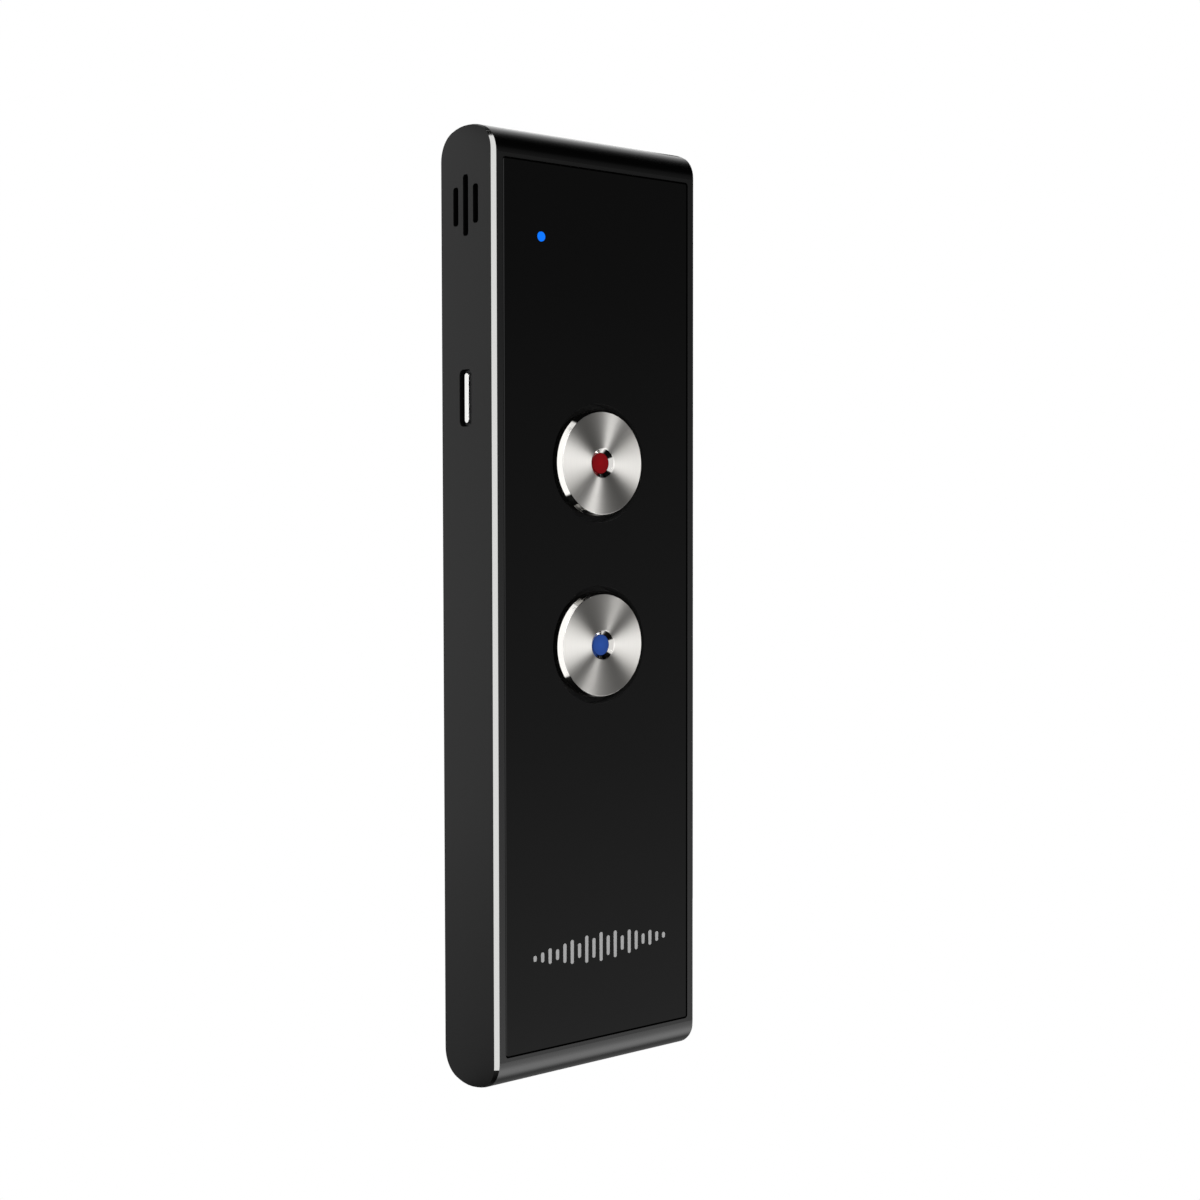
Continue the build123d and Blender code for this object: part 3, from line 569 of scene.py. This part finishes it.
studio = {
    "wallMiddle": (-0.983, 0.182),  # where the middle of the left wall lies, seen from the model
    "wallEdge": (0.31, 0.39),       # it fades in between these shares of that direction
    "wallLevels": (1.3, 0.85),      # near the table and higher up
    "wallRise": (0.1, 0.5),         # and the heights between which it changes
    # how bright the right side is, by how far the direction points along the model
    "rightSide": (
        (-1.0, 0.05), (-0.86, 0.1), (-0.8, 1.1), (-0.73, 1.17), (-0.65, 1.25), (-0.54, 0.9),
        (-0.41, 0.66), (-0.25, 0.35), (-0.12, 0.22), (0.0, 0.15), (0.12, 0.09), (0.25, 0.06),
        (0.34, 0.045), (0.45, 0.0), (1.0, 0.0),
    ),
    "rightFrom": (0.25, 0.45),      # it fades in over this much of the way round
    "rightHorizon": (0.36, 0.07),   # its foot, towards the bottom end and towards the top end
    "horizonTurn": (-0.3, 0.3),
    "horizonRise": (-0.05, 0.3),
    "surround": 0.004,              # all that is neither wall nor right side
    # how bright the table looks in the metal, by place along the model in metres
    "table": (
        (-0.2, 0.21), (-0.078, 0.19), (-0.075, 0.3), (-0.072, 0.55), (-0.045, 0.75), (-0.03, 0.9),
        (0.0, 1.0), (0.06, 1.0), (0.072, 1.1), (0.076, 1.15), (0.08, 1.05), (0.087, 0.75),
        (0.102, 0.53), (0.155, 0.21), (0.2, 0.15),
    ),
    "sideShade": {"from": 0.021, "to": 0.027, "ends": (-0.05, 0.076)},  # dark beside the right side
    "endShade": {"from": -0.006, "to": -0.022, "beyond": 0.0725},       # and left of both ends
    "shade": 0.03,
    "tableSize": 6.0,
    "tableDrop": 0.02 * mm,  # clear of the cover, which lies on it
}


def studioWorld():
    world = bpy.data.worlds.new("studio")
    bpy.context.scene.world = world
    world.use_nodes = True
    tree = world.node_tree
    tree.nodes.clear()
    direction = tree.nodes.new("ShaderNodeTexCoord").outputs["Generated"]
    axes = addNode(tree, "ShaderNodeSeparateXYZ", {0: direction}).node
    along = maths(tree, "MULTIPLY_ADD", axes.outputs["Y"], 0.5)
    along.node.inputs[2].default_value = 0.5
    right = addRamp(tree, along, [(y / 2 + 0.5, level) for y, level in studio["rightSide"]])
    turned = fade(tree, axes.outputs["Y"], *studio["horizonTurn"])
    horizon = blendColours(tree, turned, *map(grey, studio["rightHorizon"]))
    risen = fade(tree, axes.outputs["Z"], *studio["horizonRise"])
    right = blendColours(tree, risen, horizon, right)
    rightOnly = fade(tree, axes.outputs["X"], *studio["rightFrom"])
    right = blendColours(tree, rightOnly, grey(studio["surround"]), right)
    high = fade(tree, axes.outputs["Z"], *studio["wallRise"])
    wall = blendColours(tree, high, *map(grey, studio["wallLevels"]))
    towards = addNode(
        tree,
        "ShaderNodeVectorMath",
        {0: direction, 1: (*studio["wallMiddle"], 0)},
        operation="DOT_PRODUCT",
    ).node.outputs["Value"]
    left = fade(tree, towards, *studio["wallEdge"])
    seen = blendColours(tree, left, right, wall)
    camera = tree.nodes.new("ShaderNodeLightPath").outputs["Is Camera Ray"]
    colour = blendColours(tree, camera, seen, grey(1))
    background = addNode(tree, "ShaderNodeBackground", {"Color": colour})
    output = tree.nodes.new("ShaderNodeOutputWorld")
    tree.links.new(background, output.inputs["Surface"])


def whiteTable():  # plain white to the eye, clear from below; its mirror image dims towards both ends
    material = bpy.data.materials.new("whiteTable")
    material.use_nodes = True
    tree = material.node_tree
    tree.nodes.clear()
    place = tree.nodes.new("ShaderNodeTexCoord").outputs["Object"]
    axes = addNode(tree, "ShaderNodeSeparateXYZ", {0: place}).node
    x, y = axes.outputs["X"], axes.outputs["Y"]
    low, high = studio["table"][0][0], studio["table"][-1][0]
    along = addNode(tree, "ShaderNodeMapRange", {"Value": y, "From Min": low, "From Max": high})
    stops = [((at - low) / (high - low), level) for at, level in studio["table"]]
    mirrored = addRamp(tree, along, stops)
    side, end = studio["sideShade"], studio["endShade"]
    beside = within(tree, y, *side["ends"])
    shaded = maths(tree, "MULTIPLY", fade(tree, x, side["from"], side["to"]), beside)
    beyond = maths(tree, "GREATER_THAN", maths(tree, "ABSOLUTE", y), end["beyond"])
    leftOf = maths(tree, "SUBTRACT", 1.0, fade(tree, x, end["to"], end["from"]))
    shaded = maths(tree, "MAXIMUM", shaded, maths(tree, "MULTIPLY", beyond, leftOf))
    mirrored = blendColours(tree, shaded, mirrored, grey(studio["shade"]))
    camera = tree.nodes.new("ShaderNodeLightPath").outputs["Is Camera Ray"]
    colour = blendColours(tree, camera, mirrored, grey(1))
    light = addNode(tree, "ShaderNodeEmission", {"Color": colour})
    below = tree.nodes.new("ShaderNodeNewGeometry").outputs["Backfacing"]
    clear = addNode(tree, "ShaderNodeBsdfTransparent")
    sheet = addNode(tree, "ShaderNodeMixShader", {0: below, 1: light, 2: clear})
    output = tree.nodes.new("ShaderNodeOutputMaterial")
    tree.links.new(sheet, output.inputs["Surface"])
    return material


def addTable():
    mesh = bmesh.new()
    bmesh.ops.create_grid(mesh, size=studio["tableSize"] / 2)
    bmesh.ops.translate(mesh, verts=mesh.verts, vec=(0, 0, -studio["tableDrop"]))
    data = bpy.data.meshes.new("table")
    mesh.to_mesh(data)
    mesh.free()
    data.materials.append(whiteTable())
    table = bpy.data.objects.new("table", data)
    bpy.context.scene.collection.objects.link(table)


softBoxes = {  # place, size and brightness (1 looks white), in metres
    "overheadBox": {"place": (-0.05, 0.105, 0.9), "size": (0.42, 1.0), "level": 4.4},
    "redKeyBox": {"place": (0.46, -0.52, 0.7), "size": (0.3, 0.2), "level": 9.5,
                  "lights": "red_key_cap"},
    "blueKeyBox": {"place": (0.38, -0.6, 0.7), "size": (0.3, 0.2), "level": 7.0,
                   "lights": "blue_key_cap"},
}


def addSoftBox(name, box):
    width, depth = box["size"]
    light = bpy.data.lights.new(name, "AREA")
    light.shape = "RECTANGLE"
    light.size, light.size_y = width, depth
    light.energy = box["level"] * pi * width * depth
    lamp = bpy.data.objects.new(name, light)
    lamp.location = box["place"]
    lamp.rotation_euler = (-Vector(box["place"])).to_track_quat("-Z", "Y").to_euler()
    bpy.context.scene.collection.objects.link(lamp)
    if "lights" in box:  # shaded off from everything else
        only = bpy.data.collections.new(name + "Only")
        only.objects.link(nodes[box["lights"]])
        lamp.light_linking.receiver_collection = only


studioWorld()
addTable()
for boxName, box in softBoxes.items():
    addSoftBox(boxName, box)
print("studio lit")


# camera

camera = {
    "lens": 58.04,
    "yaw": 40.032,
    "pitch": 2.479,
    "roll": 0.084,
    "offset": (-8.439, -0.763, -298.614),  # the model's origin seen from the camera, in mm
}


def addCamera():
    lens = bpy.data.cameras.new("view")
    lens.lens = camera["lens"]
    lens.sensor_width = 36
    lens.sensor_fit = "HORIZONTAL"
    lens.clip_start = 0.01
    viewer = bpy.data.objects.new("view", lens)
    turn = (
        Matrix.Rotation(radians(-camera["yaw"]), 4, "Y")
        @ Matrix.Rotation(radians(-camera["pitch"]), 4, "X")
        @ Matrix.Rotation(radians(-camera["roll"]), 4, "Z")
    )
    away = turn @ (-Vector(camera["offset"]) * mm)
    viewer.matrix_world = Matrix.Translation(away) @ turn
    bpy.context.scene.collection.objects.link(viewer)
    bpy.context.scene.camera = viewer


addCamera()
bpy.context.scene.view_settings.view_transform = "Standard"
